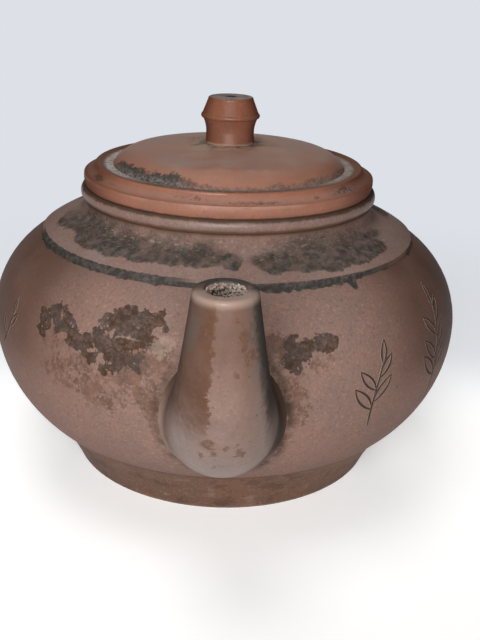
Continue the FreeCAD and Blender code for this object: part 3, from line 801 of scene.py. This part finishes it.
def bend(first, middle, last, steps):
    """Points along a curve from first to last that leans towards middle."""
    points = []
    for number in range(steps + 1):
        share = number / steps
        towards = first.lerp(middle, share)
        onwards = middle.lerp(last, share)
        points.append(towards.lerp(onwards, share))
    return points


def leaf(base, tip, fullness):
    """The two sides of a pointed leaf."""
    middle = (base + tip) / 2
    side = Vector((base.y - tip.y, tip.x - base.x)) * fullness
    return [bend(base, middle + way, tip, LEAF_STEPS) for way in (side, -side)]


def sprig_strokes(root, top, lean, leaves, length, spread):
    """Strokes of a plain sprig in degrees and millimetres: a stem with leaves on both sides."""
    stem = bend(root, root.lerp(top, 0.5) + Vector((lean, 0)), top, STEM_STEPS)
    strokes = [stem]
    for number in range(leaves):
        base = stem[FIRST_LEAF + number * (STEM_STEPS - FIRST_LEAF) // leaves]
        side = 1 if number % 2 else -1
        reach_out = Vector((side * spread, length)) * (1.1 - 0.35 * number / leaves)
        strokes += leaf(base, base + reach_out, fullness=0.26)
    return strokes + leaf(top, top + Vector((lean * -0.4, length * 0.9)), fullness=0.22)


# Section of a scratched line: half widths across it and how proud of the skin it stands
SCRATCH_SECTION = [(-1.0, 0.00), (-0.74, 0.07), (0.0, 0.02), (0.74, 0.07), (1.0, 0.00)]


def scratches(name, skin, strokes, width):
    """Lines scratched in the clay, with painted shade in their middle and pale burrs along their
    sides.
    """
    columns = len(SCRATCH_SECTION) - 1
    corners = []
    faces = []
    for stroke in strokes:
        spots = [skin.at(point.x, point.y) for point in stroke]
        for number, (point, normal) in enumerate(spots):
            before = spots[max(number - 1, 0)][0]
            after = spots[min(number + 1, len(spots) - 1)][0]
            across = normal.cross(after - before).normalized()
            share = number / (len(spots) - 1)
            half = width * MM * (0.35 + 0.65 * math.sin(math.pi * (0.12 + 0.80 * share)))
            for side, proud in SCRATCH_SECTION:
                corners.append(point + across * (side * half) + normal * (proud * MM))
            if number:
                last = len(corners) - len(SCRATCH_SECTION)
                first = last - len(SCRATCH_SECTION)
                for column in range(columns):
                    row = (first + column, first + column + 1, last + column + 1, last + column)
                    faces.append(row)
    mesh = bpy.data.meshes.new(name)
    mesh.from_pydata(corners, [], faces)
    mesh.materials.append(scratch_clay(name + "_burr", SPOUT_WARM, SCUFF))
    # Painted shade in the middle of each line
    mesh.materials.append(scratch_clay(name + "_painted_groove_shade", SOOT, TEA_DARK))
    for number, face in enumerate(mesh.polygons):
        burr = number % columns in (0, columns - 1)
        face.material_index = 0 if burr else 1
    add_piece(name, mesh, "pot")


def scratch_clay(name, first, second):
    """Bare clay or dirt in a scratched line."""
    return clay(name, first, second, roughness=0.8, sheen=0.05, sandy=0.15).done()


def add_piece(name, mesh, body):
    """Put a mesh in the scene as a piece that rides on a body."""
    piece = bpy.data.objects.new(name, mesh)
    bpy.context.scene.collection.objects.link(piece)
    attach(piece, body)


def crumbs(name, places, material, body):
    """Small lumps of dried tea and dust: each place is a middle and a size in millimetres."""
    shape = bmesh.new()
    bmesh.ops.create_icosphere(shape, subdivisions=2, radius=1.0)
    shape.verts.index_update()
    ball = [vertex.co.copy() for vertex in shape.verts]
    ball_faces = [[vertex.index for vertex in face.verts] for face in shape.faces]
    shape.free()
    dent_depth = 0.09
    corners = []
    faces = []
    for middle, size in places:
        turn = dice.uniform(0, math.tau)
        spin = Matrix.Rotation(turn, 4, Vector((dice.random(), dice.random(), 1)))
        squash = Matrix.Diagonal((dice.uniform(0.7, 1.3), dice.uniform(0.7, 1.3), 0.7, 1))
        place = Matrix.Translation(middle * MM) @ spin @ squash @ Matrix.Scale(size * MM, 4)
        first = len(corners)
        for corner in ball:
            dent = Vector((dice.gauss(0, 1), dice.gauss(0, 1), dice.gauss(0, 1)))
            corners.append(place @ corner + dent * (size * MM * dent_depth))
        faces += [[first + number for number in face] for face in ball_faces]
    mesh = bpy.data.meshes.new(name)
    mesh.from_pydata(corners, [], faces)
    mesh.materials.append(material)
    mesh.shade_smooth()
    add_piece(name, mesh, body)


def mouth_scale():
    """Dried scale round the inside of the spout's mouth."""
    low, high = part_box("spout")
    axis = Vector((0, low.y / MM + MOUTH_BEHIND_TIP, high.z / MM))
    lumps = 700
    places = []
    for _ in range(lumps):
        turn = dice.uniform(0, math.tau)
        out = LIP_BORE - dice.uniform(-0.2, 0.3)
        down = dice.uniform(0.6, 4.6)
        place = axis + Vector((out * math.sin(turn), out * math.cos(turn), -down))
        places.append((place, dice.uniform(0.18, 0.36)))
    s = clay("scale", SCALE, SCUFF, roughness=0.9, sheen=0.1)
    patches = s.noise(size=1.6, detail=3, shift=2.6).rise(0.50, 0.64)
    s.cover(patches * 0.7, SCALE_DARK, roughness=0.9)
    crumbs("spout_scale", places, s.done(), "pot")


def scratched_sprigs():
    """Plain leafy sprigs scratched on the belly: two on its right and a small one on its left."""
    skin = Skin("body_wall")
    short = sprig_strokes(Vector((34, 35)), Vector((36, 54)), -2.5, leaves=4, length=7.0, spread=4.6)
    scratches("sprig_short", skin, short, width=0.46)
    tall = sprig_strokes(Vector((57, 34)), Vector((59, 62)), -3.0, leaves=6, length=7.5, spread=5.4)
    scratches("sprig_tall", skin, tall, width=0.46)
    left = sprig_strokes(Vector((-62, 47)), Vector((-57, 58)), 2.0, leaves=2, length=5.0, spread=3.0)
    scratches("sprig_left", skin, left, width=0.42)


def photo_camera():
    """The camera at the photograph's place, found from the pot's own outlines."""
    width, height = 480, 640
    focal = 900.0
    aim = Vector((0, 0, 58.2)) * MM
    aim_pixel = (226.3, 274.0)
    distance = 300.8 * MM
    elevation = math.radians(18.892)
    roll = math.radians(1.578)
    across = aim_pixel[0] - width / 2
    down = aim_pixel[1] - height / 2
    level_across = math.cos(roll) * across + math.sin(roll) * down
    level_down = math.cos(roll) * down - math.sin(roll) * across
    yaw = math.atan(level_across / focal)
    pitch = math.atan(level_down / math.hypot(focal, level_across))
    turn = Matrix.Rotation(math.radians(90) - elevation, 3, "X")
    turn = turn @ Matrix.Rotation(yaw, 3, "Y") @ Matrix.Rotation(pitch, 3, "X")
    turn = turn @ Matrix.Rotation(roll, 3, "Z")
    back = Vector((0, -math.cos(elevation), math.sin(elevation)))
    data = bpy.data.cameras.new("photo_camera")
    data.sensor_width = 36
    data.lens = focal * data.sensor_width / height
    camera = bpy.data.objects.new("photo_camera", data)
    camera.matrix_world = Matrix.Translation(aim + back * distance) @ turn.to_4x4()
    bpy.context.scene.collection.objects.link(camera)
    bpy.context.scene.camera = camera


def lamp(name, place, size, power, mirrored=True):
    """A square soft lamp that faces the pot, with or without a reflection of its own."""
    data = bpy.data.lights.new(name, "AREA")
    data.size = size
    data.energy = power
    light = bpy.data.objects.new(name, data)
    light.location = place
    light.visible_glossy = mirrored
    light.visible_camera = False
    aim = Vector(LAMP_AIM) - Vector(place)
    light.rotation_euler = aim.to_track_quat("-Z", "Y").to_euler()
    bpy.context.scene.collection.objects.link(light)


def shown(tree):
    """Two fields: 1 for the camera's own rays, and 1 for those by a mirror or through glass."""
    path = tree.nodes.new("ShaderNodeLightPath")
    straight = Field(tree, path.outputs["Is Camera Ray"])
    mirrored = Field(tree, path.outputs["Is Glossy Ray"])
    return straight, mirrored.most(Field(tree, path.outputs["Is Transmission Ray"]))


def world_light():
    """Faint even light from all round, and a pale backdrop that shows behind the pot."""
    world = bpy.data.worlds.new("studio")
    world.use_nodes = True
    bpy.context.scene.world = world
    tree = world.node_tree
    tree.nodes.clear()
    ambient = tree.nodes.new("ShaderNodeBackground")
    ambient.inputs["Color"].default_value = (*BACKDROP, 1)
    ambient.inputs["Strength"].default_value = AMBIENT
    backdrop = tree.nodes.new("ShaderNodeBackground")
    backdrop.inputs["Color"].default_value = (*BACKDROP, 1)
    mix = tree.nodes.new("ShaderNodeMixShader")
    straight, mirrored = shown(tree)
    direction = tree.nodes.new("ShaderNodeSeparateXYZ")
    tree.links.new(tree.nodes.new("ShaderNodeTexCoord").outputs["Generated"], direction.inputs[0])
    behind_pot = Field(tree, direction.outputs["Y"]).rise(0.88, 0.97)
    plug(tree, mix.inputs[0], straight.most(mirrored * behind_pot))
    tree.links.new(ambient.outputs[0], mix.inputs[1])
    tree.links.new(backdrop.outputs[0], mix.inputs[2])
    output = tree.nodes.new("ShaderNodeOutputWorld")
    tree.links.new(mix.outputs[0], output.inputs[0])


def floor():
    """A plain white floor that keeps the pot's shadow, with a painted contact shadow round the foot,
    and fades into the backdrop.
    """
    half = 4.0
    mesh = bpy.data.meshes.new("floor")
    corners = [(-half, -half, 0), (half, -half, 0), (half, half, 0), (-half, half, 0)]
    mesh.from_pydata(corners, [], [(0, 1, 2, 3)])
    piece = bpy.data.objects.new("floor", mesh)
    bpy.context.scene.collection.objects.link(piece)
    s = Surface("floor_paper", None, roughness=0.9, sheen=0.2)
    fibres = s.noise(size=6, detail=4)
    behind = s.y.rise(10, 80)
    paper = s.mix(fibres, FLOOR, tuple(0.97 * part for part in FLOOR))
    s.colour = s.mix(behind, paper, BACKDROP)
    s.raise_by(fibres * 0.05)
    material = s.done()
    straight, mirrored = shown(s.tree)
    seen = straight.most(mirrored)
    under_key = s.y.fall(-160, 0) * 0.36
    # Painted contact shadow: the floor glows less close round the foot
    painted_foot_shadow = s.radius.rise(46, 84) * 0.16 + 0.84
    strength = seen * (FLOOR_GLOW - under_key - behind * 0.20) * painted_foot_shadow
    glow = s.tree.nodes.new("ShaderNodeEmission")
    glow.inputs["Color"].default_value = (*GLOW, 1)
    plug(s.tree, glow.inputs["Strength"], strength)
    near = s.tree.nodes.new("ShaderNodeAddShader")
    s.tree.links.new(s.shader.outputs[0], near.inputs[0])
    s.tree.links.new(glow.outputs[0], near.inputs[1])
    backdrop = s.tree.nodes.new("ShaderNodeEmission")
    backdrop.inputs["Color"].default_value = (*BACKDROP, 1)
    far_away = s.radius.rise(150, 330)
    mix = s.tree.nodes.new("ShaderNodeMixShader")
    plug(s.tree, mix.inputs[0], far_away * seen)
    s.tree.links.new(near.outputs[0], mix.inputs[1])
    s.tree.links.new(backdrop.outputs[0], mix.inputs[2])
    s.tree.links.new(mix.outputs[0], s.tree.nodes["Material Output"].inputs["Surface"])
    mesh.materials.append(material)


dress_pot()
scratched_sprigs()
mouth_scale()
floor()
world_light()
lamp("key", (-0.03, -0.35, 0.17), size=0.16, power=1.22)
lamp("top", (-0.12, -0.02, 0.88), size=0.5, power=2.9, mirrored=False)
lamp("back", (0.0, 1.20, 0.26), size=0.4, power=6.5, mirrored=False)
photo_camera()
bpy.context.scene.view_settings.view_transform = "Standard"
